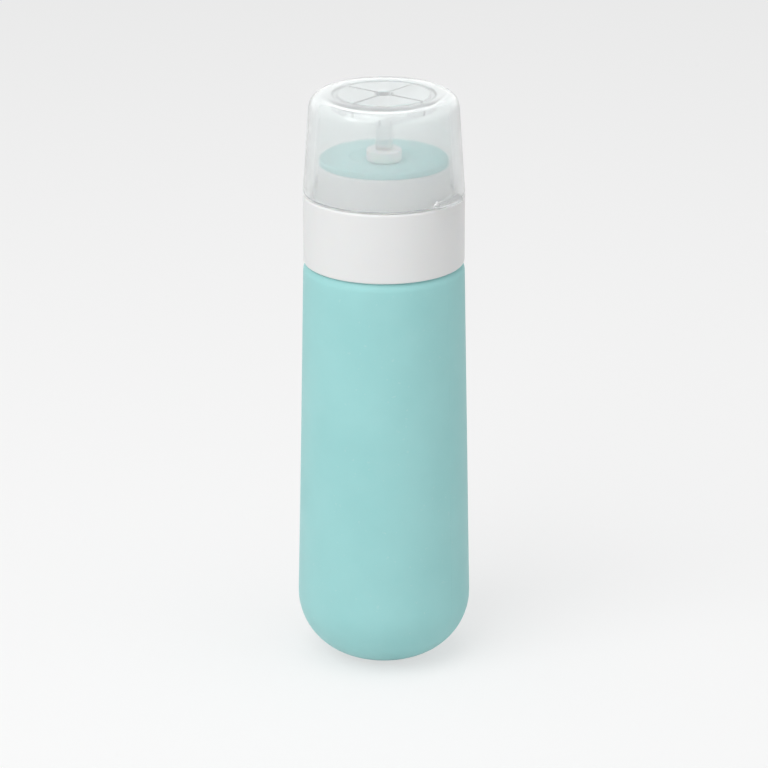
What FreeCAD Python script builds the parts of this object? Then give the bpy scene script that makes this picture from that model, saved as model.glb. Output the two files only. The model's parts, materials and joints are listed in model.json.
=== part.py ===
import FreeCAD, Part
import os
import re
import Sketcher

# Travel bottle: a squeezable silicone body, a screw collar that carries a no-drip valve, and a
# hinged cup-shaped lid. Millimetres, +Z up, origin at the centre of the foot. The hinge is at +Y.

# Driving sizes, one sheet row each: name and value in millimetres, but thread_turns counts turns,
# lid_draft and tab_angle are in degrees, and a ratio is one radius or height over another.
SIZES = [
    ("body_dia", 42.6),          # widest diameter of the silicone body, low down
    ("body_taper", 1.85),        # how far the side leans in from there to the shoulder
    ("body_height", 101.5),      # foot to shoulder
    ("body_wall", 2.2),
    ("foot_dia", 11.0),          # flat patch that the bottle stands on
    ("shoulder_round", 1.2),
    ("inner_shoulder_round", 4.0),
    ("neck_wall", 2.4),
    ("lip_overhang", 1.5),       # silicone lip that holds the threaded ring down
    ("lip_height", 1.8),
    ("lip_round", 0.5),
    ("seat_gap", 0.05),          # radial gap of a piece pressed round or into another
    ("ring_wall", 1.65),
    ("thread_pitch", 4.0),
    ("thread_turns", 1.5),
    ("thread_depth", 0.9),
    ("thread_base", 1.7),        # axial width of the thread at its root
    ("thread_crest", 0.8),
    ("thread_gap", 0.4),         # crest to opposite root
    ("thread_start", 1.9),       # shoulder to the middle of the ring's first thread
    ("thread_sink", 0.3),        # how deep the thread's root is buried in its wall
    ("seam_gap", 0.3),           # shoulder to the collar's lower edge
    ("collar_step", 0.1),        # how far the shoulder stands proud of the collar
    ("collar_height", 17.0),
    ("collar_wall", 1.65),
    ("collar_round", 0.4),
    ("rim_height", 0.7),         # collar's rim above its deck
    ("deck_thickness", 1.9),
    ("turret_height", 7.9),      # deck to the turret's top
    ("turret_ratio", 0.88),      # turret to the lid's bore
    ("turret_wall", 1.6),
    ("turret_round", 0.6),
    ("ledge_thickness", 1.6),
    ("spout_hole_ratio", 0.67),  # spout hole to the turret's bore
    ("gasket_thickness", 1.6),
    ("gasket_clear", 0.6),       # gasket's rim to the collar's bore
    ("gasket_mouth_clear", 0.3),
    ("valve_inset", 0.3),        # valve's edge inside the turret's edge
    ("valve_flange", 1.6),
    ("valve_round", 0.5),
    ("valve_bead", 1.4),
    ("bead_grip", 1.6),          # how far the valve's bead reaches under the ledge
    ("well_ratio", 0.8),         # well under the membrane, and the retainer's bore, to the spout hole
    ("dish_ratio", 0.89),        # dish over the membrane, also to the spout hole
    ("dish_floor_ratio", 0.61),
    ("dish_depth", 1.3),
    ("membrane", 0.9),
    ("slit_ratio", 0.39),        # half a slit to the spout hole
    ("slit_width", 0.3),
    ("retainer_thickness", 1.4),
    ("lid_gap", 0.3),            # collar's rim to the lid's edge
    ("lid_height", 24.0),
    ("lid_draft", 4.0),          # lean of the lid's side
    ("lid_wall", 1.5),
    ("lid_top_round", 4.0),
    ("lid_edge_round", 0.3),
    ("lid_ring_inset", 5.65),    # lid's bore to the stiffening ring under its top
    ("lid_ring_wall", 1.0),
    ("lid_ring_depth", 2.2),
    ("post_dia", 4.0),
    ("web_thickness", 0.9),
    ("web_ratio", 0.55),         # a web's height at the post to the post's length above the stopper
    ("stopper_gap", 0.3),        # stopper to the valve
    ("stopper_ratio", 0.445),    # stopper to the spout hole
    ("stopper_height", 2.8),
    ("stopper_base", 1.0),
    ("stopper_round", 0.6),
    ("knuckle_dia", 3.0),
    ("hinge_inset", 0.25),       # hinge axis, in from the collar's face
    ("knuckle_width", 5.2),
    ("ear_width", 2.2),
    ("hinge_gap", 0.25),         # round the knuckles
    ("hinge_side_gap", 0.2),     # between the knuckle and the ears
    ("trunnion_dia", 1.6),
    ("trunnion_length", 2.0),
    ("trunnion_clear", 0.05),
    ("hinge_reach", 3.0),        # how far the hinge's arms run along the walls
    ("hinge_arm_outset", 0.7),   # arm's outer corner, in from the hinge axis
    ("hinge_arm_inset", 1.2),
    ("tab_angle", 30.0),         # thumb tab on the lid's front edge
    ("tab_reach", 1.25),         # lid's wall to the tab's outer edge
    ("tab_height", 1.8),
    ("tab_nose", 0.9),           # height of the tab's outer edge
    ("tab_root", 0.6),           # how deep the tab is buried in the lid's wall
]

doc = FreeCAD.newDocument("travel_bottle")
sheet = doc.addObject("Spreadsheet::Sheet", "Sheet")
for row, (alias, size) in enumerate(SIZES, start=1):
    sheet.set(f"A{row}", alias)
    sheet.set(f"B{row}", str(size))
    sheet.setAlias(f"B{row}", alias)
doc.recompute()


def bound(expression):
    """The expression with every size's name pointing at the sheet; names before a bracket are functions."""
    return re.sub(r"[a-z][a-z_]*(?![a-z_(])", lambda name: "Sheet." + name.group(), expression)


def value(expression):
    return float(sheet.evalExpression(bound(expression)))


# Radii worked out from the driving sizes, from the outside inwards.
body_r = "(body_dia / 2)"
shoulder_r = f"({body_r} - body_taper)"
collar_r = f"({shoulder_r} - collar_step)"
bore_r = f"({collar_r} - collar_wall)"
ring_crest_r = f"({bore_r} - thread_gap)"
ring_root_r = f"({ring_crest_r} - thread_depth)"
collar_crest_r = f"({bore_r} - thread_depth)"
ring_bore_r = f"({ring_root_r} - ring_wall)"
neck_r = f"({ring_bore_r} - seat_gap)"
mouth_r = f"({neck_r} - neck_wall)"
lip_r = f"({neck_r} + lip_overhang)"
lid_bore_r = f"({collar_r} - lid_wall)"
turret_r = f"({lid_bore_r} * turret_ratio)"
turret_bore_r = f"({turret_r} - turret_wall)"
spout_hole_r = f"({turret_bore_r} * spout_hole_ratio)"
well_r = f"({spout_hole_r} * well_ratio)"
flange_r = f"({turret_r} - valve_inset)"
lid_ring_r = f"({lid_bore_r} - lid_ring_inset)"

# Heights above the foot, from the shoulder upwards.
collar_bottom = "(body_height + seam_gap)"
collar_top = f"({collar_bottom} + collar_height)"
deck_top = f"({collar_top} - rim_height)"
deck_bottom = f"({deck_top} - deck_thickness)"
lip_top = f"({deck_bottom} - gasket_thickness)"
lip_bottom = f"({lip_top} - lip_height)"
turret_top = f"({deck_top} + turret_height)"
ledge_bottom = f"({turret_top} - ledge_thickness)"
valve_top = f"({turret_top} + valve_flange)"
dish_floor = f"({valve_top} - dish_depth)"
bead_bottom = f"({ledge_bottom} - valve_bead)"
lid_bottom = f"({collar_top} + lid_gap)"
lid_top = f"({lid_bottom} + lid_height)"
lid_ceiling = f"({lid_top} - lid_wall)"
stopper_bottom = f"({dish_floor} + stopper_gap)"
stopper_top = f"({stopper_bottom} + stopper_height)"
post_end = f"({stopper_bottom} + stopper_base)"
lid_ring_bottom = f"({lid_ceiling} - lid_ring_depth)"
web_bottom = f"({lid_ceiling} - ({lid_ceiling} - {stopper_top}) * web_ratio)"

# How a sketch numbers an edge's points and its own axes; the origin is the first end of the H axis.
FIRST_END, LAST_END, CENTRE = range(1, 4)
V_AXIS, H_AXIS = range(-2, 0)

# The lid's hinge axis runs along X through this point of the YZ plane.
knuckle_r = "(knuckle_dia / 2)"
hinge_y = f"({collar_r} - hinge_inset)"
hinge_z = f"({collar_top} + lid_gap / 2)"


def new_body(label):
    body = doc.addObject("PartDesign::Body", label)
    body.Label = label
    return body


def new_sketch(body, name, role="XZ_Plane"):
    """A sketch on one of the body's own origin planes."""
    sketch = body.newObject("Sketcher::SketchObject", name)
    plane = next(feature for feature in body.Origin.OriginFeatures if feature.Role == role)
    sketch.AttachmentSupport = [(plane, "")]
    sketch.MapMode = "FlatFace"
    return sketch


def drive(sketch, constraint, expression):
    """Add a constraint whose value follows the sheet."""
    index = sketch.addConstraint(constraint)
    sketch.setExpression(f"Constraints[{index}]", bound(expression))


def pin_point(sketch, geometry, end, x, y):
    """Fix one end of an edge at x, y; a point on an axis is held on that axis."""
    for kind, zero_axis, expression in (("DistanceX", V_AXIS, x), ("DistanceY", H_AXIS, y)):
        if expression == "0":
            sketch.addConstraint(Sketcher.Constraint("PointOnObject", geometry, end, zero_axis))
        else:
            distance = Sketcher.Constraint(kind, H_AXIS, FIRST_END, geometry, end, value(expression))
            drive(sketch, distance, expression)


def heading(start, finish):
    """Direction of an edge between two points, -1, 0 or 1 along each axis when it lies along one."""
    step = FreeCAD.Vector(value(finish[0]) - value(start[0]), value(finish[1]) - value(start[1]), 0)
    return step.normalize()


def rounded(corners):
    """Edges of a closed outline. A corner is (x, y), or (x, y, round) between two edges along the axes, or
    (x, y, radius, turn) for the far end of an arc, with turn 1 for counter-clockwise and -1 for clockwise.
    Gives a list of (x, y, radius, turn), where radius None is a straight edge to that point."""
    edges = []
    for index, corner in enumerate(corners):
        if len(corner) == 4:
            edges.append(corner)
        elif len(corner) == 2:
            edges.append((corner[0], corner[1], None, 0))
        else:
            x, y, radius = corner
            entry = heading(corners[index - 1], corner)
            leave = heading(corner, corners[(index + 1) % len(corners)])
            turn = 1 if entry.cross(leave).z > 0 else -1
            start = (f"{x} - {radius} * {round(entry.x)}", f"{y} - {radius} * {round(entry.y)}")
            finish = (f"{x} + {radius} * {round(leave.x)}", f"{y} + {radius} * {round(leave.y)}")
            edges.append((*start, None, 0))
            edges.append((*finish, radius, turn))
    return edges


def arc_between(start, finish, radius, turn):
    """The shorter arc from start to finish. An arc runs counter-clockwise from its own first end."""
    chord = finish - start
    middle = start + chord * 0.5
    rise = max(radius ** 2 - (chord.Length / 2) ** 2, 0) ** 0.5
    across = FreeCAD.Vector(-chord.y, chord.x, 0).normalize() * rise * turn
    circle = Part.Circle(middle + across, FreeCAD.Vector(0, 0, 1), radius)
    first, last = (start, finish) if turn > 0 else (finish, start)
    return Part.ArcOfCircle(circle, circle.parameter(first), circle.parameter(last))


def draw_outline(sketch, corners):
    """Draw a closed outline of lines and arcs, with every point and radius bound to the sheet."""
    edges = rounded(corners)
    points = [FreeCAD.Vector(value(x), value(y), 0) for x, y, radius, turn in edges]
    first_geometry = sketch.GeometryCount
    ends = []
    for index, (x, y, radius, turn) in enumerate(edges):
        start = points[index - 1]
        finish = points[index]
        if radius is None:
            sketch.addGeometry(Part.LineSegment(start, finish), False)
        else:
            sketch.addGeometry(arc_between(start, finish, value(radius), turn), False)
        ends.append((FIRST_END, LAST_END) if turn >= 0 else (LAST_END, FIRST_END))
    for index, (x, y, radius, turn) in enumerate(edges):
        geometry = first_geometry + index
        following = (index + 1) % len(edges)
        far_end = ends[index][1]
        near_end = ends[following][0]
        next_geometry = first_geometry + following
        sketch.addConstraint(Sketcher.Constraint("Coincident", geometry, far_end, next_geometry, near_end))
        pin_point(sketch, geometry, far_end, x, y)
        if radius is not None:
            drive(sketch, Sketcher.Constraint("Radius", geometry, value(radius)), radius)


def draw_circle(sketch, x, y, radius):
    circle = Part.Circle(FreeCAD.Vector(value(x), value(y), 0), FreeCAD.Vector(0, 0, 1), value(radius))
    geometry = sketch.addGeometry(circle, False)
    pin_point(sketch, geometry, CENTRE, x, y)
    drive(sketch, Sketcher.Constraint("Radius", geometry, value(radius)), radius)


def revolve(body, name, corners, role="XZ_Plane"):
    """Turn an outline in an upright plane about the bottle's axis."""
    sketch = new_sketch(body, name + "_profile", role)
    draw_outline(sketch, corners)
    feature = body.newObject("PartDesign::Revolution", name)
    feature.Profile = sketch
    feature.ReferenceAxis = (sketch, ["V_Axis"])
    feature.Angle = 360
    doc.recompute()
    return feature


def extrude(body, name, kind, sketch, length):
    """Pad or pocket a sketch by half the length to each side of its plane."""
    before = body.Shape.Volume
    feature = body.newObject("PartDesign::" + kind, name)
    feature.Profile = sketch
    feature.SideType = "Symmetric"
    feature.setExpression("Length", bound(length))
    doc.recompute()
    grew = body.Shape.Volume > before
    if grew != (kind == "Pad") or body.Shape.Volume == before:
        raise ValueError(f"{name} did not change {body.Label} as a {kind} should")
    return feature


def thread(body, name, root_r, sink, crest_r, middle):
    """A helical ridge on a wall: its section is a trapezoid whose root is buried in the wall."""
    sketch = new_sketch(body, name + "_section")
    buried_r = f"{root_r} - {sink}"
    draw_outline(sketch, [
        (buried_r, f"{middle} - thread_base / 2"),
        (crest_r, f"{middle} - thread_crest / 2"),
        (crest_r, f"{middle} + thread_crest / 2"),
        (buried_r, f"{middle} + thread_base / 2"),
    ])
    before = body.Shape.Volume
    ridge = body.newObject("PartDesign::AdditiveHelix", name)
    ridge.Profile = sketch
    ridge.ReferenceAxis = (sketch, ["V_Axis"])
    ridge.Mode = "pitch-turns-angle"
    ridge.setExpression("Pitch", bound("thread_pitch"))
    ridge.setExpression("Turns", bound("thread_turns"))
    doc.recompute()
    if body.Shape.Volume <= before:
        raise ValueError(f"{name} added nothing to {body.Label}")
    return ridge


def build_bottle_body():
    """Silicone shell: flat foot, large bottom corner, slightly tapered side, shoulder, neck and lip."""
    body = new_body("bottle_body")
    base_r = f"({body_r} - foot_dia / 2)"
    inner_base_r = f"({base_r} - body_wall)"
    inner_side_r = f"({body_r} - body_wall)"
    inner_top_r = f"({shoulder_r} - body_wall)"
    inner_ceiling = "(body_height - body_wall)"
    revolve(body, "shell", [
        ("0", "0"),
        ("foot_dia / 2", "0"),
        (body_r, base_r, base_r, 1),
        (shoulder_r, "body_height - shoulder_round"),
        (f"{shoulder_r} - shoulder_round", "body_height", "shoulder_round", 1),
        (neck_r, "body_height"),
        (neck_r, lip_bottom),
        (lip_r, lip_bottom),
        (lip_r, lip_top, "lip_round"),
        (mouth_r, lip_top, "lip_round"),
        (mouth_r, inner_ceiling),
        (f"{inner_top_r} - inner_shoulder_round", inner_ceiling),
        (inner_top_r, f"{inner_ceiling} - inner_shoulder_round", "inner_shoulder_round", -1),
        (inner_side_r, base_r),
        ("foot_dia / 2", "body_wall", inner_base_r, -1),
        ("0", "body_wall"),
    ])
    return body


def build_neck_ring():
    """Rigid ring round the silicone neck, between the shoulder and the lip, with the outer thread."""
    body = new_body("neck_ring")
    revolve(body, "sleeve", [
        (ring_bore_r, "body_height"),
        (ring_root_r, "body_height"),
        (ring_root_r, lip_bottom),
        (ring_bore_r, lip_bottom),
    ])
    thread(body, "outer_thread", ring_root_r, "thread_sink", ring_crest_r, "body_height + thread_start")
    return body


def hinge_arm_outline(direction):
    """Hinge arm in the YZ plane: half a knuckle, and a taper along the wall, down (-1) or up (1)."""
    reach_z = f"{hinge_z} + hinge_reach * {direction}"
    return [
        (f"{hinge_y} + {knuckle_r}", hinge_z),
        (f"{hinge_y}", f"{hinge_z} - {knuckle_r} * {direction}", knuckle_r, -direction),
        (f"{hinge_y} - {knuckle_r}", hinge_z, knuckle_r, -direction),
        (f"{hinge_y} - hinge_arm_inset", reach_z),
        (f"{hinge_y} - hinge_arm_outset", reach_z),
    ]


def hinge_circle(body, name, radius):
    sketch = new_sketch(body, name + "_circle", "YZ_Plane")
    draw_circle(sketch, hinge_y, hinge_z, radius)
    return sketch


def build_screw_collar():
    """White cap: skirt with the inner thread, deck, spout turret, and two hinge ears at the back."""
    body = new_body("screw_collar")
    revolve(body, "cap", [
        (bore_r, collar_bottom),
        (collar_r, collar_bottom, "collar_round"),
        (collar_r, collar_top, "collar_round"),
        (lid_bore_r, collar_top),
        (lid_bore_r, deck_top),
        (turret_r, deck_top),
        (turret_r, turret_top, "turret_round"),
        (spout_hole_r, turret_top),
        (spout_hole_r, ledge_bottom),
        (turret_bore_r, ledge_bottom),
        (turret_bore_r, deck_bottom),
        (bore_r, deck_bottom),
    ])
    middle = "body_height + thread_start + thread_pitch / 2"
    thread(body, "inner_thread", bore_r, "-thread_sink", collar_crest_r, middle)
    knuckle_slot = "(knuckle_width + 2 * hinge_side_gap)"
    ears = new_sketch(body, "ears_outline", "YZ_Plane")
    draw_outline(ears, hinge_arm_outline(-1))
    extrude(body, "ears", "Pad", ears, f"{knuckle_slot} + 2 * ear_width")
    slot = hinge_circle(body, "knuckle_slot", f"{knuckle_r} + hinge_gap")
    extrude(body, "knuckle_slot", "Pocket", slot, knuckle_slot)
    sockets = hinge_circle(body, "trunnion_sockets", "trunnion_dia / 2 + trunnion_clear")
    extrude(body, "trunnion_sockets", "Pocket", sockets, f"{knuckle_slot} + 2 * ear_width")
    return body


def build_cap_gasket():
    """Flat seal ring between the neck's lip and the collar's deck."""
    body = new_body("cap_gasket")
    inner_r = f"({mouth_r} + gasket_mouth_clear)"
    outer_r = f"({bore_r} - gasket_clear)"
    revolve(body, "washer", [
        (inner_r, lip_top),
        (outer_r, lip_top),
        (outer_r, deck_bottom),
        (inner_r, deck_bottom),
    ])
    return body


def build_spout_valve():
    """Silicone disc on the turret: flange, dished membrane with a cross slit, and a bead under the ledge."""
    body = new_body("spout_valve")
    stem_r = f"({spout_hole_r} - seat_gap)"
    bead_r = f"({spout_hole_r} + bead_grip)"
    revolve(body, "disc", [
        ("0", f"{dish_floor} - membrane"),
        (well_r, f"{dish_floor} - membrane"),
        (well_r, bead_bottom),
        (bead_r, bead_bottom),
        (bead_r, ledge_bottom),
        (stem_r, ledge_bottom),
        (stem_r, turret_top),
        (flange_r, turret_top),
        (flange_r, valve_top, "valve_round"),
        (f"{spout_hole_r} * dish_ratio", valve_top),
        (f"{spout_hole_r} * dish_floor_ratio", dish_floor),
        ("0", dish_floor),
    ])
    slit_length = f"(2 * {spout_hole_r} * slit_ratio)"
    slits = [("slit_x", slit_length, "slit_width"), ("slit_y", "slit_width", slit_length)]
    for name, along, across in slits:
        sketch = new_sketch(body, name + "_outline")
        draw_outline(sketch, [
            (f"-{along} / 2", f"{dish_floor} - membrane * 2"),
            (f"{along} / 2", f"{dish_floor} - membrane * 2"),
            (f"{along} / 2", f"{dish_floor} + membrane"),
            (f"-{along} / 2", f"{dish_floor} + membrane"),
        ])
        extrude(body, name, "Pocket", sketch, across)
    return body


def build_valve_retainer():
    """Hard ring pressed into the turret from below, under the valve's bead."""
    body = new_body("valve_retainer")
    outer_r = f"({turret_bore_r} - seat_gap)"
    revolve(body, "ring", [
        (well_r, f"{bead_bottom} - retainer_thickness"),
        (outer_r, f"{bead_bottom} - retainer_thickness"),
        (outer_r, bead_bottom),
        (well_r, bead_bottom),
    ])
    return body


def build_flip_lid():
    """Lid: drafted side, one round up to the flat top, then a post, a ring and four webs inside."""
    body = new_body("flip_lid")
    inner_round = "(lid_top_round - lid_wall)"
    round_level = f"({lid_top} - lid_top_round)"
    side_bottom = f"({lid_bottom} + lid_edge_round)"
    side_top = f"({round_level} + lid_top_round * sin(lid_draft))"
    side_r = f"({collar_r} - ({side_top} - {side_bottom}) * tan(lid_draft))"
    top_r = f"({side_r} - lid_top_round * cos(lid_draft))"
    inner_side_top = f"({round_level} + {inner_round} * sin(lid_draft))"
    inner_side_r = f"({lid_bore_r} - ({inner_side_top} - {lid_bottom}) * tan(lid_draft))"
    inner_top_r = f"({inner_side_r} - {inner_round} * cos(lid_draft))"
    post_r = "(post_dia / 2)"
    revolve(body, "cup", [
        (collar_r, lid_bottom, "lid_edge_round"),
        (side_r, side_top),
        (top_r, lid_top, "lid_top_round", 1),
        ("0", lid_top),
        ("0", post_end),
        (post_r, post_end),
        (post_r, lid_ceiling),
        (inner_top_r, lid_ceiling),
        (inner_side_r, inner_side_top, inner_round, -1),
        (lid_bore_r, lid_bottom),
    ])
    ring_bore = f"({lid_ring_r} - lid_ring_wall)"
    ring_root = f"({lid_top} - lid_wall / 2)"
    revolve(body, "top_ring", [
        (ring_bore, lid_ring_bottom),
        (lid_ring_r, lid_ring_bottom),
        (lid_ring_r, ring_root),
        (ring_bore, ring_root),
    ])
    web_reach = f"({lid_ring_r} - lid_ring_wall / 2)"
    for name, role in (("webs_x", "XZ_Plane"), ("webs_y", "YZ_Plane")):
        sketch = new_sketch(body, name + "_outline", role)
        draw_outline(sketch, [
            (f"-{post_r}", web_bottom),
            (post_r, web_bottom),
            (web_reach, lid_ring_bottom),
            (web_reach, ring_root),
            (f"-{web_reach}", ring_root),
            (f"-{web_reach}", lid_ring_bottom),
        ])
        extrude(body, name, "Pad", sketch, "web_thickness")
    ears_span = "(knuckle_width + 4 * hinge_side_gap + 2 * ear_width)"
    window = hinge_circle(body, "ear_window", f"{knuckle_r} + hinge_gap")
    extrude(body, "ear_window", "Pocket", window, ears_span)
    knuckle = new_sketch(body, "knuckle_outline", "YZ_Plane")
    draw_outline(knuckle, hinge_arm_outline(1))
    extrude(body, "knuckle", "Pad", knuckle, "knuckle_width")
    trunnions = hinge_circle(body, "trunnions", "trunnion_dia / 2")
    extrude(body, "trunnions", "Pad", trunnions, "knuckle_width + 2 * trunnion_length")
    tab = revolve(body, "tab", [
        (f"-{collar_r} - tab_reach", lid_bottom),
        (f"-{collar_r} + tab_root", lid_bottom),
        (f"-{collar_r} + tab_root", f"{lid_bottom} + tab_height"),
        (f"-{collar_r} - tab_reach", f"{lid_bottom} + tab_nose"),
    ], "YZ_Plane")
    tab.Midplane = True
    tab.setExpression("Angle", bound("tab_angle"))
    return body


def build_lid_stopper():
    """Soft plug pushed onto the end of the lid's post."""
    body = new_body("lid_stopper")
    socket_r = "(post_dia / 2 + seat_gap)"
    stopper_r = f"({spout_hole_r} * stopper_ratio)"
    revolve(body, "plug", [
        ("0", stopper_bottom),
        (stopper_r, stopper_bottom, "stopper_round"),
        (stopper_r, stopper_top),
        (socket_r, stopper_top),
        (socket_r, post_end),
        ("0", post_end),
    ])
    return body


parts = [
    build_bottle_body(),
    build_neck_ring(),
    build_screw_collar(),
    build_cap_gasket(),
    build_spout_valve(),
    build_valve_retainer(),
    build_flip_lid(),
    build_lid_stopper(),
]
doc.recompute()

for item in doc.Objects:
    if {"Invalid", "Error"} & set(item.State):
        raise ValueError(f"{item.Label} failed: {item.State}")
for part in parts:
    shape = part.Shape
    if shape.isNull() or not shape.isValid() or len(shape.Solids) != 1:
        raise ValueError(f"{part.Label} is not one valid solid")

os.makedirs("parts", exist_ok=True)
for part in parts:
    part.Shape.exportStep(f"parts/{part.Label}.step")
    print(f"{part.Label}: {part.Shape.Volume / 1000:.2f} cm3")
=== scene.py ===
import json
import math

import bpy
import numpy as np
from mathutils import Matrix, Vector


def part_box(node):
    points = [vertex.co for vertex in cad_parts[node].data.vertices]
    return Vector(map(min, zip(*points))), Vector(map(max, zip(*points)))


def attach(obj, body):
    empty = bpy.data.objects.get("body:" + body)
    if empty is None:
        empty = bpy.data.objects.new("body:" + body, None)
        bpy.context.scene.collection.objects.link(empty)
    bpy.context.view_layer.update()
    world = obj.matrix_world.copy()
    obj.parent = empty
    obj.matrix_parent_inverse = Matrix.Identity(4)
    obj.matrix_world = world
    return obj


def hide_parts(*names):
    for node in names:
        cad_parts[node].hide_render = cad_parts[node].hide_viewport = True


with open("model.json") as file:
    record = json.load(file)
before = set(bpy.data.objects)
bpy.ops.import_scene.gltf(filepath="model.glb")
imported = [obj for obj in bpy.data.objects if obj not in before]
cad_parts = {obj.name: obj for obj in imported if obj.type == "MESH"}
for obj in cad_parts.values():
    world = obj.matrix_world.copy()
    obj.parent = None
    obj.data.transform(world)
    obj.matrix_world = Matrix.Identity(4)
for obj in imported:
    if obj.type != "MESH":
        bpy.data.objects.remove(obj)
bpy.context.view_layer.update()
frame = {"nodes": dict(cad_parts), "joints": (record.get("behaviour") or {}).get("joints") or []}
scene = bpy.context.scene
mm = 0.001
hair = 0.01  # millimetres: a distance too small to count
creaseAngle = 32  # degrees: an edge that turns more is shaded sharp
fullTurn = 2 * math.pi


def roundNode(node):  # radius, lower level and upper level of a round solid, in millimetres
    low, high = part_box(node)
    return high.x / mm, low.z / mm, high.z / mm


bodyRadius, footLevel, lipTop = roundNode("bottle_body")
ringCrest, shoulderLevel, lipBottom = roundNode("neck_ring")
washerRadius, washerBottom, deckBottom = roundNode("cap_gasket")
collarRadius, collarBottom, turretTop = roundNode("screw_collar")
flangeRadius, beadBottom, valveTop = roundNode("spout_valve")
lockRadius, lockBottom, lockTop = roundNode("valve_retainer")
lidRadius, _, lidTop = roundNode("flip_lid")
plugRadius, plugBottom, plugTop = roundNode("lid_stopper")
lidFlip = next(joint for joint in frame["joints"] if joint["name"] == "lid_flip")
hingeY, hingeZ = (part / mm for part in lidFlip["pos_m"][1:])
print("frame loaded:", len(frame["nodes"]), "solids")


def smooth(share):  # eases from 0 to 1: three squares minus two cubes
    share = np.clip(share, 0, 1)
    return share * share * (3 - 2 * share)


def outline(corners, step, closed):
    # straight runs through the corners (radius, level, rounding), cut into equal steps; a rounding is the
    # arc that touches both runs, its centre on their bisector at rounding / sin(half the corner's angle)
    fewest = 7  # points on an arc
    corners = np.asarray(corners, float)
    bends = []
    for index, (radius, level, rounding) in enumerate(corners):
        here = np.array((radius, level))
        if not rounding:
            bends.append(here[None])
            continue
        back = corners[index - 1, :2] - here
        ahead = corners[(index + 1) % len(corners), :2] - here
        back, ahead = back / np.hypot(*back), ahead / np.hypot(*ahead)
        halfAngle = math.acos(np.clip(back @ ahead, -1, 1)) / 2
        bisector = (back + ahead) / np.hypot(*(back + ahead))
        centre = here + bisector * rounding / math.sin(halfAngle)
        first = here + back * rounding / math.tan(halfAngle) - centre
        last = here + ahead * rounding / math.tan(halfAngle) - centre
        start = math.atan2(first[1], first[0])
        sweep = (math.atan2(last[1], last[0]) - start + math.pi) % fullTurn - math.pi
        count = max(fewest, math.ceil(abs(sweep) * rounding / step) + 1)
        angles = start + sweep * np.linspace(0, 1, count)
        bends.append(centre + rounding * np.stack((np.cos(angles), np.sin(angles)), 1))
    path = []
    for index, bend in enumerate(bends):
        path.append(bend)
        if index + 1 == len(bends) and not closed:
            break
        run = bends[(index + 1) % len(bends)][0] - bend[-1]
        shares = np.linspace(0, 1, max(2, math.ceil(np.hypot(*run) / step) + 1))[1:-1]
        path.append(bend[-1] + shares[:, None] * run)
    return np.concatenate(path)


def around(columns):  # even angles for a whole turn
    return np.linspace(0, fullTurn, columns, endpoint=False)


evenAngles = around(240)  # fine enough for the small pieces and the threads


def turned(path, angles, closed, reshape=None):
    # a profile carried round the axis: x = r cos(angle), y = r sin(angle), z = level; reshape may move r.
    # An open profile starts and ends on the axis, where each end row is one pole.
    radius = np.repeat(path[:, :1], len(angles), 1)
    level = np.repeat(path[:, 1:], len(angles), 1)
    if reshape:
        radius = reshape(angles[None], radius, level)
    points = np.stack((radius * np.cos(angles), radius * np.sin(angles), level), 2) * mm
    rows, columns = radius.shape
    fans = []
    if closed:
        points = points.reshape(-1, 3)
        lower = np.arange(rows * columns).reshape(rows, columns)
        upper = np.roll(lower, -1, 0)
    else:
        points = np.concatenate((points[0, :1], points[1:-1].reshape(-1, 3), points[-1, :1]))
        index = 1 + np.arange((rows - 2) * columns).reshape(rows - 2, columns)
        lower, upper = index[:-1], index[1:]
        bottom = np.stack((np.roll(index[0], -1), index[0], np.zeros(columns, int)), 1)
        top = np.stack((index[-1], np.roll(index[-1], -1), np.full(columns, len(points) - 1)), 1)
        fans = bottom.tolist() + top.tolist()
    quads = np.stack((lower, np.roll(lower, -1, 1), np.roll(upper, -1, 1), upper), 2).reshape(-1, 4)
    return points, quads.tolist() + fans


def prism(sideView, xFrom, xTo, rounding=0.0):
    # a closed outline in the YZ plane, counter-clockwise, pushed along X between two end faces; near each
    # end it shrinks as a quarter circle does: by rounding (1 - sin a), at rounding (1 - cos a) from the end
    roundSteps = 6
    sideView = np.asarray(sideView, float)
    edges = np.roll(sideView, -1, 0) - sideView
    edges /= np.hypot(*edges.T)[:, None]
    before = np.roll(edges, 1, 0)
    both = before + edges
    outward = np.stack((both[:, 1], -both[:, 0]), 1) / (1 + (before * edges).sum(1))[:, None]
    turn = np.linspace(0, math.pi / 2, roundSteps if rounding else 1)
    inset = rounding * (1 - np.sin(turn))
    back = rounding * (1 - np.cos(turn))
    places = np.concatenate((xFrom + back, xTo - back[::-1]))
    insets = np.concatenate((inset, inset[::-1]))
    rows, count = len(places), len(sideView)
    shrunk = sideView - insets[:, None, None] * outward
    along = np.repeat(places, count).reshape(rows, count, 1)
    index = np.arange(rows * count).reshape(rows, count)
    after = np.roll(index, -1, 1)
    sides = np.stack((index[:-1], after[:-1], after[1:], index[1:]), 2).reshape(-1, 4)
    faces = sides.tolist() + [index[0, ::-1].tolist(), index[-1].tolist()]
    return np.concatenate((along, shrunk), 2).reshape(-1, 3) * mm, faces


def circle(y, z, radius, start=0.0, sweep=fullTurn, count=48):  # points on a circle or an arc of it
    shares = np.arange(count) / count if sweep == fullTurn else np.linspace(0, 1, count)
    angles = start + sweep * shares
    return np.stack((y + radius * np.cos(angles), z + radius * np.sin(angles)), 1)


def meshObject(name, points, faces):
    mesh = bpy.data.meshes.new(name)
    mesh.from_pydata(points, [], faces)
    made = bpy.data.objects.new(name, mesh)
    scene.collection.objects.link(made)
    return made


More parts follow.
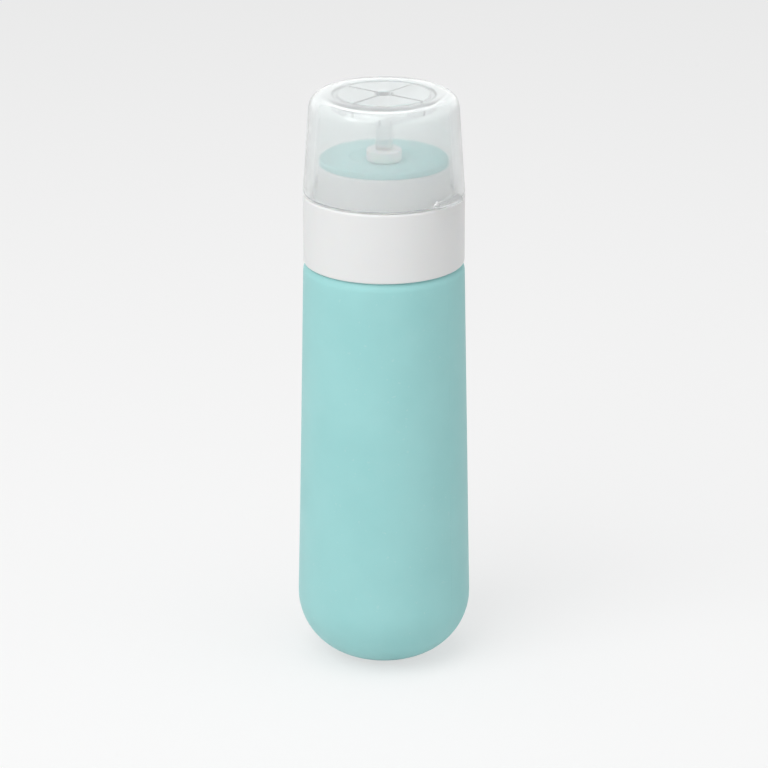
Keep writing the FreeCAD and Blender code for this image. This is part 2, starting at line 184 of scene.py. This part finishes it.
def cutAndJoin(piece, steps):  # works a list of (operation, points and faces) into the piece's own mesh
    for operation, shape in steps:
        tool = meshObject("tool", *shape)
        modifier = piece.modifiers.new("tool", "BOOLEAN")
        modifier.operation = operation
        modifier.solver = "MANIFOLD"
        modifier.object = tool
        worked = piece.evaluated_get(bpy.context.evaluated_depsgraph_get())
        mesh = bpy.data.meshes.new_from_object(worked)
        piece.modifiers.clear()
        before, piece.data = piece.data, mesh
        mesh.name = piece.name
        bpy.data.meshes.remove(before)
        toolMesh = tool.data
        bpy.data.objects.remove(tool)
        bpy.data.meshes.remove(toolMesh)


def seat(piece, material, body, node):  # dresses a finished piece and puts it in its solid's place
    piece.data.shade_smooth()
    piece.data.set_sharp_from_angle(angle=math.radians(creaseAngle))
    piece.data.materials.clear()
    piece.data.materials.append(material)
    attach(piece, body)
    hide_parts(node)
    print("made", piece.name, len(piece.data.polygons), "faces")


def colour(red, green, blue):
    return (red, green, blue, 1.0)


class Wire:  # a shader socket that takes part in sums
    def __init__(self, finish, socket):
        self.finish, self.socket = finish, socket

    def sum(self, operation, first, second):
        return self.finish.node("ShaderNodeMath", {"operation": operation}, {0: first, 1: second})

    def __add__(self, other):
        return self.sum("ADD", self, other)

    def __radd__(self, other):
        return self.sum("ADD", other, self)

    def __mul__(self, other):
        return self.sum("MULTIPLY", self, other)

    def __rmul__(self, other):
        return self.sum("MULTIPLY", other, self)


class Finish:  # the nodes of one material or of the world
    def __init__(self, owner):
        owner.use_nodes = True
        self.owner, self.tree = owner, owner.node_tree
        self.tree.nodes.clear()

    def node(self, kind, settings=None, sockets=None, output=0):
        made = self.tree.nodes.new(kind)
        for key, setting in (settings or {}).items():
            if key == "stops":
                for stop, (position, shade) in zip(made.color_ramp.elements, setting):
                    stop.position, stop.color = position, colour(shade, shade, shade)
            else:
                setattr(made, key, setting)
        for key, given in (sockets or {}).items():
            if isinstance(given, Wire):
                self.tree.links.new(given.socket, made.inputs[key])
            else:
                made.inputs[key].default_value = given
        return Wire(self, made.outputs[output]) if made.outputs else None

    def seen(self):  # 1 for what the camera sees, straight, mirrored or through the lid
        kinds = ("Is Camera Ray", "Is Glossy Ray", "Is Transmission Ray")
        direct, mirrored, through = (self.node("ShaderNodeLightPath", output=kind) for kind in kinds)
        return direct + mirrored + through

    def pattern(self, scale, detail, stretch=(1, 1, 1), span=None):
        # cloudy values round one half, with the scale per metre; a span makes them 0 up to it and 1 past it
        spot = self.node("ShaderNodeTexCoord", output="Object")
        spot = self.node("ShaderNodeMapping", None, {"Vector": spot, "Scale": stretch})
        cloud = self.node("ShaderNodeTexNoise", None, {"Vector": spot, "Scale": scale, "Detail": detail})
        if not span:
            return cloud
        low, high = span
        return self.node("ShaderNodeValToRGB", {"stops": ((low, 0.0), (high, 1.0))}, {"Fac": cloud})

    def blend(self, share, first, second):  # a Mix node's colours are its sockets 6 and 7 and its output 2
        return self.node("ShaderNodeMix", {"data_type": "RGBA"}, {0: share, 6: first, 7: second}, output=2)

    def bump(self, height, strength, depth):
        return self.node("ShaderNodeBump", None, {"Height": height, "Strength": strength, "Distance": depth})

    def surface(self, varying, fixed):
        shader = self.node("ShaderNodeBsdfPrincipled", None, {**varying, **fixed})
        self.node("ShaderNodeOutputMaterial", None, {"Surface": shader})
        return self.owner


# mint silicone: a soft matte skin, cloudy by a few per cent, with a fine grain, hand marks and a little dust
siliconeLook = {
    "base": colour(0.352, 0.672, 0.667), "deep": colour(0.322, 0.638, 0.634),
    "cloud": {"scale": 70, "detail": 4, "span": (0.35, 0.68)}, "cloudShare": 0.7,
    "dusty": colour(0.54, 0.74, 0.73),
    "dust": {"scale": 900, "detail": 1, "span": (0.71, 0.78)}, "dustShare": 0.22,
    "hands": {"scale": 38, "detail": 3, "span": (0.42, 0.62)}, "handRoughness": 0.12, "roughness": 0.50,
    "grain": {"scale": 5200, "detail": 2}, "grainRoughness": 0.06, "grainBump": 0.16, "grainDepth": 0.00006,
    "fixed": {
        "IOR": 1.41, "Sheen Weight": 0.08, "Sheen Roughness": 0.45,
        "Subsurface Weight": 0.18, "Subsurface Scale": 0.003, "Subsurface Radius": (0.6, 1.0, 1.0),
    },
}


def siliconeFinish():
    look = siliconeLook
    finish = Finish(bpy.data.materials.new("mintSilicone"))
    cloud = finish.pattern(**look["cloud"])
    hands = finish.pattern(**look["hands"])
    grain = finish.pattern(**look["grain"])
    dust = finish.pattern(**look["dust"])
    tint = finish.blend(cloud * look["cloudShare"], look["base"], look["deep"])
    return finish.surface({
        "Base Color": finish.blend(dust * look["dustShare"], tint, look["dusty"]),
        "Roughness": look["roughness"] + hands * look["handRoughness"] + grain * look["grainRoughness"],
        "Normal": finish.bump(grain, look["grainBump"], look["grainDepth"]),
    }, look["fixed"])


# white plastic: satin, with a fine spark-eroded grain, faint greyer clouds and finger smears in the gloss
whiteLook = {
    "base": colour(0.800, 0.806, 0.803), "deep": colour(0.765, 0.772, 0.770),
    "cloud": {"scale": 55, "detail": 3},
    "smears": {"scale": 90, "detail": 4, "stretch": (1, 1, 0.35), "span": (0.45, 0.66)},
    "smearRoughness": 0.10, "roughness": 0.30,
    "grain": {"scale": 7800, "detail": 2}, "grainRoughness": 0.05, "grainBump": 0.14, "grainDepth": 0.00004,
    "fixed": {"IOR": 1.49, "Subsurface Weight": 0.06, "Subsurface Scale": 0.0015},
}


def whiteFinish():
    look = whiteLook
    finish = Finish(bpy.data.materials.new("satinWhite"))
    cloud = finish.pattern(**look["cloud"])
    smears = finish.pattern(**look["smears"])
    grain = finish.pattern(**look["grain"])
    return finish.surface({
        "Base Color": finish.blend(cloud, look["base"], look["deep"]),
        "Roughness": look["roughness"] + smears * look["smearRoughness"] + grain * look["grainRoughness"],
        "Normal": finish.bump(grain, look["grainBump"], look["grainDepth"]),
    }, look["fixed"])


# natural plastic: uncoloured, a little waxy, with flow marks that run round the ring
naturalLook = {
    "base": colour(0.745, 0.755, 0.720), "deep": colour(0.690, 0.702, 0.668),
    "cloud": {"scale": 60, "detail": 4, "stretch": (1, 1, 6)}, "cloudRoughness": 0.1, "roughness": 0.34,
    "grain": {"scale": 6400, "detail": 2}, "grainBump": 0.12, "grainDepth": 0.00004,
    "fixed": {"IOR": 1.5, "Subsurface Weight": 0.25, "Subsurface Scale": 0.002},
}

# frosted plastic: lets light through but blurs it, more in cloudy patches, under a fine grain
frostLook = {
    "base": colour(0.955, 0.970, 0.970), "deep": colour(0.925, 0.945, 0.945),
    "cloud": {"scale": 80, "detail": 3}, "cloudRoughness": 0.06, "roughness": 0.07,
    "grain": {"scale": 6000, "detail": 2}, "grainBump": 0.05, "grainDepth": 0.00003,
    "fixed": {"IOR": 1.46, "Transmission Weight": 0.76},
}

# clear silicone: uncoloured and soft, slightly hazy, with a fine grain
clearLook = {
    "base": colour(0.790, 0.810, 0.800), "deep": colour(0.735, 0.758, 0.750),
    "cloud": {"scale": 160, "detail": 4}, "cloudRoughness": 0.12, "roughness": 0.42,
    "grain": {"scale": 5200, "detail": 2}, "grainBump": 0.15, "grainDepth": 0.00005,
    "fixed": {"IOR": 1.41, "Subsurface Weight": 0.4, "Subsurface Scale": 0.002},
}


def cloudyFinish(name, look):  # the base colour clouded with the deep one, and duller in the clouds
    finish = Finish(bpy.data.materials.new(name))
    cloud = finish.pattern(**look["cloud"])
    grain = finish.pattern(**look["grain"])
    return finish.surface({
        "Base Color": finish.blend(cloud, look["base"], look["deep"]),
        "Roughness": look["roughness"] + cloud * look["cloudRoughness"],
        "Normal": finish.bump(grain, look["grainBump"], look["grainDepth"]),
    }, look["fixed"])


mintSilicone = siliconeFinish()
satinWhite = whiteFinish()
naturalPlastic = cloudyFinish("naturalPlastic", naturalLook)
frostedPlastic = cloudyFinish("frostedPlastic", frostLook)
clearSilicone = cloudyFinish("clearSilicone", clearLook)
print("finishes ready")

# silicone body, millimetres; the shoulder's tilt is in degrees
bodyShape = {
    "wall": 2.2, "footRadius": 5.5, "lean": 1.85, "insideRound": 4.0,
    "shoulderDrop": 1.1, "shoulderTilt": 40, "shoulderRound": 3.5, "shoulderEdge": 0.3,
    "neckInset": 2.6,  # crest of the ring's thread to the neck's wall
    "neckWall": 2.4, "neckRound": 0.3, "mouthRound": 0.6,
    "lipOverhang": 1.5, "lipRound": 0.5, "lipRoot": 0.2, "lipEdge": 0.15,
    "skin": 0.06, "skinFade": 6,  # how far the plain skin lies inside the solid, to leave room for the seam
    "seamHeight": 0.05, "seamWidth": 0.32, "seamFade": 1.5,
    "sway": 0.10, "swayWaves": (2, 3),  # slow unevenness of the soft wall, always inwards
    "swayShift": 0.6, "swayTwist": 21,  # radians, and the height in which the second wave turns by a radian
    "swayStart": 0.3, "swayFade": 30,  # a share of the bottom's round, and the height of the fading ends
    "gateRadius": 1.6, "gateDepth": 0.35, "gateRound": 0.2, "gateEdge": 0.25,
    "step": 0.9, "columns": 264, "crowding": 0.48,
}


def siliconeBody():
    shape = bodyShape
    shoulderRadius = bodyRadius - shape["lean"]
    cornerRadius = bodyRadius - shape["footRadius"]
    slope = shape["lean"] / (shoulderLevel - cornerRadius)
    lowRadius = bodyRadius + slope * cornerRadius
    turnRadius = shoulderRadius + slope * shape["shoulderDrop"]
    edgeRadius = turnRadius - shape["shoulderDrop"] * math.tan(math.radians(shape["shoulderTilt"]))
    neckRadius = ringCrest - shape["neckInset"]
    lipRadius = neckRadius + shape["lipOverhang"]
    mouth = neckRadius - shape["neckWall"]
    inside = shoulderLevel - shape["wall"]
    innerCorner = cornerRadius - shape["wall"]
    path = outline([  # gate mark, foot, round bottom, side, shoulder, neck and lip, then back down the inside
        (0, shape["gateDepth"], 0),
        (shape["gateRadius"], shape["gateDepth"], shape["gateRound"]),
        (shape["gateRadius"] + shape["gateDepth"], footLevel, shape["gateEdge"]),
        (lowRadius, footLevel, cornerRadius),
        (turnRadius, shoulderLevel - shape["shoulderDrop"], shape["shoulderRound"]),
        (edgeRadius, shoulderLevel, shape["shoulderEdge"]),
        (neckRadius, shoulderLevel, shape["neckRound"]),
        (neckRadius, lipBottom, shape["lipRoot"]),
        (lipRadius, lipBottom, shape["lipEdge"]),
        (lipRadius, lipTop, shape["lipRound"]),
        (mouth, lipTop, shape["lipRound"]),
        (mouth, inside, shape["mouthRound"]),
        (shoulderRadius - shape["wall"], inside, shape["insideRound"]),
        (lowRadius - shape["wall"], shape["wall"], innerCorner),
        (0, shape["wall"], 0),
    ], shape["step"], False)
    spin = around(shape["columns"])
    angles = spin + shape["crowding"] * np.sin(2 * spin)  # closest at +Y and -Y, where the mould's seam runs

    def soften(angle, radius, level):
        # the outside only: r less the skin and a sway of two slow waves, plus a round ridge at each seam
        side = lowRadius + (shoulderRadius - lowRadius) * level / shoulderLevel
        reach = np.hypot(radius - shape["footRadius"], cornerRadius - level)
        skinDepth = np.where(level < cornerRadius, cornerRadius - reach, side - radius)
        betweenEnds = (radius > shape["footRadius"]) & (level < shoulderLevel - hair)
        outside = betweenEnds & (skinDepth < shape["wall"] / 2)
        lowFade = smooth((level - cornerRadius * shape["swayStart"]) / shape["swayFade"])
        highFade = smooth((shoulderLevel - level) / shape["swayFade"])
        firstCount, secondCount = shape["swayWaves"]
        firstWave = np.cos(firstCount * angle + shape["swayShift"])
        secondWave = np.cos(secondCount * angle + level / shape["swayTwist"])
        sway = shape["sway"] * ((2 - firstWave - secondWave) / 4) * (lowFade * highFade)
        fromSeam = np.abs(angle % math.pi - math.pi / 2) * radius
        seamFade = smooth((shoulderLevel - level) / shape["seamFade"])
        ridge = shape["seamHeight"] * (smooth(1 - fromSeam / (shape["seamWidth"] / 2)) * seamFade)
        skin = shape["skin"] * smooth((radius - shape["footRadius"]) / shape["skinFade"])
        return np.where(outside, radius - skin - sway + ridge, radius)

    piece = meshObject("siliconeBody", *turned(path, angles, False, soften))
    seat(piece, mintSilicone, "bottle", "bottle_body")


# screw thread shared by the ring and the collar, millimetres; runOut is in turns
threadShape = {
    "pitch": 4.0, "turns": 1.5, "depth": 0.9, "base": 1.7, "crest": 0.8, "start": 1.9, "runOut": 0.09,
}


def threadHeight(angle, level, startLevel):
    # height of the ridge: its middle climbs one pitch a turn; its section is a trapezoid with eased flanks,
    # and it fades at both ends
    shape = threadShape
    turn = (angle % fullTurn) / fullTurn
    climbed = (level - startLevel) / shape["pitch"]
    whole = np.clip(np.round(climbed - turn), 0, np.floor(shape["turns"] - turn))
    along = turn + whole
    away = np.abs(level - startLevel - shape["pitch"] * along)
    flank = (shape["base"] - shape["crest"]) / 2
    section = smooth((shape["base"] / 2 - away) / flank)
    ends = smooth(along / shape["runOut"]) * smooth((shape["turns"] - along) / shape["runOut"])
    return shape["depth"] * section * ends


# threaded ring round the neck, millimetres
ringShape = {"wall": 1.65, "round": 0.2, "step": 0.22}


def threadedRing():
    shape = ringShape
    root = ringCrest - threadShape["depth"]
    bore = root - shape["wall"]
    path = outline([
        (bore, shoulderLevel, shape["round"]),
        (root, shoulderLevel, shape["round"]),
        (root, lipBottom, shape["round"]),
        (bore, lipBottom, shape["round"]),
    ], shape["step"], True)

    def addThread(angle, radius, level):  # r plus the ridge's height, on the outside only
        height = threadHeight(angle, level, shoulderLevel + threadShape["start"])
        return np.where(radius > root - hair, radius + height, radius)

    piece = meshObject("threadedRing", *turned(path, evenAngles, True, addThread))
    seat(piece, naturalPlastic, "bottle", "neck_ring")


# hinge between the collar's ears and the lid's knuckle, millimetres
hingeShape = {
    "knuckle": 1.5, "knuckleHalf": 2.6, "slotHalf": 2.8, "earHalf": 5.0, "windowHalf": 5.2, "gap": 0.25,
    "trunnion": 0.8, "trunnionHalf": 4.6, "socket": 0.85, "reach": 3.0, "outset": 0.7, "inset": 1.2,
    "lidGap": 0.3, "round": 0.22, "armPoints": 25,
}


def hingeArm(direction):
    # half a knuckle, then a taper that runs along the wall, down (-1) for the ears or up (1) for the lid
    shape = hingeShape
    start = 0 if direction < 0 else math.pi
    half = circle(hingeY, hingeZ, shape["knuckle"], start, math.pi, shape["armPoints"])
    tip = hingeZ + shape["reach"] * direction
    foot = [(hingeY - shape["inset"], tip), (hingeY - shape["outset"], tip)]
    return np.concatenate((half, foot if direction < 0 else foot[::-1]))


def hingeRod(radius, halfLength, rounding=0.0):  # a round bar on the hinge's axis
    return prism(circle(hingeY, hingeZ, radius), -halfLength, halfLength, rounding)


# screw collar, millimetres; turretShare is of the lid's bore and spoutShare of the turret's
collarShape = {
    "wall": 1.65, "skirtRound": 0.25, "seamDrop": 0.2, "seamRound": 0.45,
    "rimHeight": 0.7, "rimRound": 0.8, "lidWall": 1.5,
    "turretShare": 0.88, "turretWall": 1.6, "turretRound": 0.6, "turretFoot": 0.4,
    "spoutShare": 0.67, "ledge": 1.6, "fineRound": 0.2, "insideRound": 0.3, "step": 0.3,
}
collarTop = hingeZ - hingeShape["lidGap"] / 2
lidBore = collarRadius - collarShape["lidWall"]
turretRadius = lidBore * collarShape["turretShare"]
turretBore = turretRadius - collarShape["turretWall"]
spoutRadius = turretBore * collarShape["spoutShare"]
ledgeBottom = turretTop - collarShape["ledge"]


def whiteCollar():
    shape, joint = collarShape, hingeShape
    bore = collarRadius - shape["wall"]
    skirtBottom = collarBottom - shape["seamDrop"]
    deckTop = collarTop - shape["rimHeight"]
    fine, inside = shape["fineRound"], shape["insideRound"]
    path = outline([  # skirt, rim, deck and turret from outside, then the spout and the inside
        (bore, skirtBottom, shape["skirtRound"]),
        (collarRadius, skirtBottom, shape["seamRound"]),
        (collarRadius, collarTop, shape["rimRound"]),
        (lidBore, collarTop, fine),
        (lidBore, deckTop, fine),
        (turretRadius, deckTop, shape["turretFoot"]),
        (turretRadius, turretTop, shape["turretRound"]),
        (spoutRadius, turretTop, fine),
        (spoutRadius, ledgeBottom, fine),
        (turretBore, ledgeBottom, inside),
        (turretBore, deckBottom, inside),
        (bore, deckBottom, inside),
    ], shape["step"], True)
    startLevel = shoulderLevel + threadShape["start"] + threadShape["pitch"] / 2  # between the ring's ridges

    def addThread(angle, radius, level):  # r less the ridge's height, inside the skirt only
        inSkirt = (np.abs(radius - bore) < hair) & (level < deckBottom - inside)
        return np.where(inSkirt, radius - threadHeight(angle, level, startLevel), radius)

    piece = meshObject("whiteCollar", *turned(path, evenAngles, True, addThread))
    slotHalf, earHalf = joint["slotHalf"], joint["earHalf"]
    cutAndJoin(piece, [
        ("DIFFERENCE", hingeRod(joint["knuckle"] + joint["gap"], slotHalf - hair)),
        ("UNION", prism(hingeArm(-1), -earHalf, -slotHalf, joint["round"])),
        ("UNION", prism(hingeArm(-1), slotHalf, earHalf, joint["round"])),
        ("DIFFERENCE", hingeRod(joint["socket"], joint["windowHalf"])),
    ])
    seat(piece, satinWhite, "cap", "screw_collar")


# flat washer between the lip and the deck, millimetres
washerShape = {"width": 4.5, "round": 0.35, "step": 0.3}


def capWasher():
    shape = washerShape
    bore = washerRadius - shape["width"]
    path = outline([
        (bore, washerBottom, shape["round"]),
        (washerRadius, washerBottom, shape["round"]),
        (washerRadius, deckBottom, shape["round"]),
        (bore, deckBottom, shape["round"]),
    ], shape["step"], True)
    piece = meshObject("capWasher", *turned(path, evenAngles, True))
    seat(piece, clearSilicone, "seal", "cap_gasket")


# valve disc on the turret, millimetres; the shares are of the spout's radius
valveShape = {
    "dishDepth": 1.3, "dishShare": 0.89, "dishEdge": 0.8, "floorShare": 0.61, "floorRound": 0.9,
    "wellShare": 0.8, "wellRound": 0.4, "wellEdge": 0.25, "membrane": 0.9, "seatGap": 0.05,
    "beadGrip": 1.6, "beadRound": 0.35, "stemRound": 0.15, "underRound": 0.2, "edgeRound": 0.5,
    "slitShare": 0.39, "slitWidth": 0.3, "slitOver": 0.5, "step": 0.35,
}
wellRadius = spoutRadius * valveShape["wellShare"]


def valveDisc():
    shape = valveShape
    floor = valveTop - shape["dishDepth"]
    under = floor - shape["membrane"]
    stem = spoutRadius - shape["seatGap"]
    bead = spoutRadius + shape["beadGrip"]
    path = outline([  # membrane, well, bead, stem and flange from below, then the dish on top
        (0, under, 0),
        (wellRadius, under, shape["wellRound"]),
        (wellRadius, beadBottom, shape["wellEdge"]),
        (bead, beadBottom, shape["beadRound"]),
        (bead, ledgeBottom, shape["underRound"]),
        (stem, ledgeBottom, shape["stemRound"]),
        (stem, turretTop, shape["stemRound"]),
        (flangeRadius, turretTop, shape["underRound"]),
        (flangeRadius, valveTop, shape["edgeRound"]),
        (spoutRadius * shape["dishShare"], valveTop, shape["dishEdge"]),
        (spoutRadius * shape["floorShare"], floor, shape["floorRound"]),
        (0, floor, 0),
    ], shape["step"], False)
    piece = meshObject("valveDisc", *turned(path, evenAngles, False))
    long, thin = spoutRadius * shape["slitShare"], shape["slitWidth"] / 2
    low, high = under - shape["slitOver"], floor + shape["slitOver"]
    steps = []
    for alongY, alongX in ((long, thin), (thin, long)):
        section = [(-alongY, low), (alongY, low), (alongY, high), (-alongY, high)]
        steps.append(("DIFFERENCE", prism(section, -alongX, alongX)))
    cutAndJoin(piece, steps)
    seat(piece, mintSilicone, "cap", "spout_valve")


# lock ring under the valve, millimetres
lockShape = {"round": 0.25, "leadIn": 0.4, "step": 0.3}


def valveLock():
    shape = lockShape
    path = outline([
        (wellRadius, lockBottom, shape["leadIn"]),
        (lockRadius, lockBottom, shape["round"]),
        (lockRadius, lockTop, shape["leadIn"]),
        (wellRadius, lockTop, shape["round"]),
    ], shape["step"], True)
    piece = meshObject("valveLock", *turned(path, evenAngles, True))
    seat(piece, satinWhite, "cap", "valve_retainer")


# soft plug on the lid's post, millimetres
plugShape = {"base": 1.0, "round": 0.6, "topRound": 0.35, "socket": 2.05, "socketRound": 0.15, "step": 0.3}
socketFloor = plugBottom + plugShape["base"]


def stopperPlug():
    shape = plugShape
    path = outline([  # the outside from below, then the socket for the post
        (0, plugBottom, 0),
        (plugRadius, plugBottom, shape["round"]),
        (plugRadius, plugTop, shape["topRound"]),
        (shape["socket"], plugTop, shape["socketRound"]),
        (shape["socket"], socketFloor, shape["socketRound"]),
        (0, socketFloor, 0),
    ], shape["step"], False)
    piece = meshObject("stopperPlug", *turned(path, evenAngles[::2], False))
    seat(piece, clearSilicone, "lid", "lid_stopper")


# frosted lid, millimetres; its draft and the tab's half angle and fade are in degrees
lidShape = {
    "draft": 4.0, "topRound": 4.0, "edgeRound": 0.25, "edgeDrop": 0.12, "innerEdge": 0.2,
    "ringInset": 5.65, "ringWall": 1.0, "ringDepth": 2.2, "ringRound": 0.3, "ringRoot": 0.4,
    "postRadius": 2.0, "postRound": 0.25, "postRoot": 0.5,
    "webThickness": 0.9, "webShare": 0.55, "webRound": 0.2,
    "tabReach": 1.24, "tabHalfAngle": 15.0, "tabFade": 2.5, "tabHeight": 1.8, "tabNose": 0.9,
    "step": 0.35, "columns": 288,
}


def frostedLid():
    shape, joint = lidShape, hingeShape
    wall = collarShape["lidWall"]
    lidBottom = hingeZ + joint["lidGap"] / 2 - shape["edgeDrop"]
    ceiling = lidTop - wall
    lean = math.tan(math.radians(shape["draft"]))
    topCorner = lidRadius - (lidTop - lidBottom - shape["edgeRound"]) * lean
    innerCorner = lidBore - (ceiling - lidBottom) * lean
    ringRadius = lidBore - shape["ringInset"]
    ringBore = ringRadius - shape["ringWall"]
    ringBottom = ceiling - shape["ringDepth"]
    post = shape["postRadius"]
    path = outline([  # post, ceiling, ring and inner wall, then the edge, the outer wall and the top
        (0, socketFloor, 0),
        (post, socketFloor, shape["postRound"]),
        (post, ceiling, shape["postRoot"]),
        (ringBore, ceiling, shape["ringRoot"]),
        (ringBore, ringBottom, shape["ringRound"]),
        (ringRadius, ringBottom, shape["ringRound"]),
        (ringRadius, ceiling, shape["ringRoot"]),
        (innerCorner, ceiling, shape["topRound"] - wall),
        (lidBore, lidBottom, shape["innerEdge"]),
        (lidRadius, lidBottom, shape["edgeRound"]),
        (topCorner, lidTop, shape["topRound"]),
        (0, lidTop, 0),
    ], shape["step"], False)

    def addTab(angle, radius, level):
        # the outer edge swells by the tab's reach inside its angle at -Y, and slopes back to the wall above
        fromFront = np.degrees(np.abs(angle - 0.75 * fullTurn))
        width = smooth((shape["tabHalfAngle"] - fromFront) / shape["tabFade"])
        slope = shape["tabHeight"] - shape["tabNose"]
        height = smooth((lidBottom + shape["tabHeight"] - level) / slope)
        onWall = radius > lidRadius - shape["edgeRound"] - hair
        return np.where(onWall, radius + shape["tabReach"] * width * height, radius)

    piece = meshObject("frostedLid", *turned(path, around(shape["columns"]), False, addTab))
    webReach = ringRadius - shape["ringWall"] / 2
    webBottom = ceiling - (ceiling - plugTop) * shape["webShare"]
    webRoot = lidTop - wall / 2
    thin = shape["webThickness"] / 2
    webSide = [
        (-post, webBottom), (post, webBottom), (webReach, ringBottom),
        (webReach, webRoot), (-webReach, webRoot), (-webReach, ringBottom),
    ]
    points, faces = prism(webSide, -thin, thin, shape["webRound"])
    quarterTurned = points[:, (1, 0, 2)] * (-1, 1, 1)
    knuckleHalf = joint["knuckleHalf"]
    cutAndJoin(piece, [
        ("UNION", (points, faces)),
        ("UNION", (quarterTurned, faces)),
        ("DIFFERENCE", hingeRod(joint["knuckle"] + joint["gap"], joint["windowHalf"])),
        ("UNION", prism(hingeArm(1), -knuckleHalf, knuckleHalf, joint["round"])),
        ("UNION", hingeRod(joint["trunnion"], joint["trunnionHalf"], joint["round"])),
    ])
    seat(piece, frostedPlastic, "lid", "flip_lid")


siliconeBody()
threadedRing()
whiteCollar()
capWasher()
valveDisc()
valveLock()
frostedLid()
stopperPlug()

# studio: pale floor, soft key from the front left, weak fill and top light, all at a plain level; in metres,
# but floorDrop, lens and aimLevel in millimetres, and degrees, with the lamps' angles counted from the view's
studio = {
    "floorSize": 6.0, "floorDrop": 0.05, "floorShade": 0.82, "floorGlow": 0.60, "worldLight": 0.44,
    "keyAngle": -40, "keyHeight": 44, "keyDistance": 1.1, "keySize": 0.9, "keyPower": 6.8,
    "fillAngle": 70, "fillHeight": 25, "fillDistance": 1.3, "fillSize": 0.9, "fillPower": 1.4,
    "topAngle": 0, "topHeight": 82, "topDistance": 0.9, "topSize": 0.7, "topPower": 2.6,
    "viewAngle": 218, "viewHeight": 20, "viewDistance": 0.80, "lens": 154, "nearest": 0.05, "aimLevel": 69.8,
}
white = colour(1, 1, 1)
target = np.array((0, 0, studio["aimLevel"])) * mm


def polar(angle, height, distance):  # a place round the target: angle from +X and height, both in degrees
    angle, height = math.radians(angle), math.radians(height)
    flat = math.cos(height) * distance
    return target + np.array((flat * math.cos(angle), flat * math.sin(angle), math.sin(height) * distance))


def aim(thing, spot):  # stands a lamp or the camera at the spot, turned to the target
    thing.location = spot
    towards = target - spot
    yaw = math.atan2(towards[1], towards[0]) - math.pi / 2
    pitch = math.atan2(towards[2], math.hypot(towards[0], towards[1])) + math.pi / 2
    thing.rotation_euler = (pitch, 0, yaw)
    scene.collection.objects.link(thing)


def softRoom():  # an even white all round, which lights the bottle less than it shows
    world = Finish(bpy.data.worlds.new("softRoom"))
    scene.world = world.owner
    strength = studio["worldLight"] + (1 - studio["worldLight"]) * world.seen()
    sky = world.node("ShaderNodeBackground", None, {"Color": white, "Strength": strength})
    world.node("ShaderNodeOutputWorld", None, {"Surface": sky})


def paleFloor():  # takes the bottle's shadow, and shows paler than it is
    half = studio["floorSize"] / 2
    drop = -studio["floorDrop"] * mm
    corners = [(-half, -half, drop), (half, -half, drop), (half, half, drop), (-half, half, drop)]
    floor = meshObject("paleFloor", corners, [(0, 1, 2, 3)])
    pale = Finish(bpy.data.materials.new("paleFloor"))
    seen = pale.seen() * studio["floorGlow"]
    shade = studio["floorShade"]
    matt = pale.node("ShaderNodeBsdfDiffuse", None, {"Color": colour(shade, shade, shade)})
    glow = pale.node("ShaderNodeEmission", None, {"Color": white, "Strength": 1.0})
    mixed = pale.node("ShaderNodeMixShader", None, {0: seen, 1: matt, 2: glow})
    pale.node("ShaderNodeOutputMaterial", None, {"Surface": mixed})
    floor.data.materials.append(pale.owner)


def softLamps():
    for part in ("key", "fill", "top"):
        lamp = bpy.data.lights.new(part + "Light", "AREA")
        lamp.energy, lamp.size = studio[part + "Power"], studio[part + "Size"]
        angle = studio["viewAngle"] + studio[part + "Angle"]
        spot = polar(angle, studio[part + "Height"], studio[part + "Distance"])
        aim(bpy.data.objects.new(part + "Light", lamp), spot)


def photoView():
    view = bpy.data.cameras.new("photoView")
    view.lens, view.clip_start = studio["lens"], studio["nearest"]
    camera = bpy.data.objects.new("photoView", view)
    aim(camera, polar(studio["viewAngle"], studio["viewHeight"], studio["viewDistance"]))
    scene.camera = camera
    scene.view_settings.view_transform = "Standard"


softRoom()
paleFloor()
softLamps()
photoView()
print("studio ready")
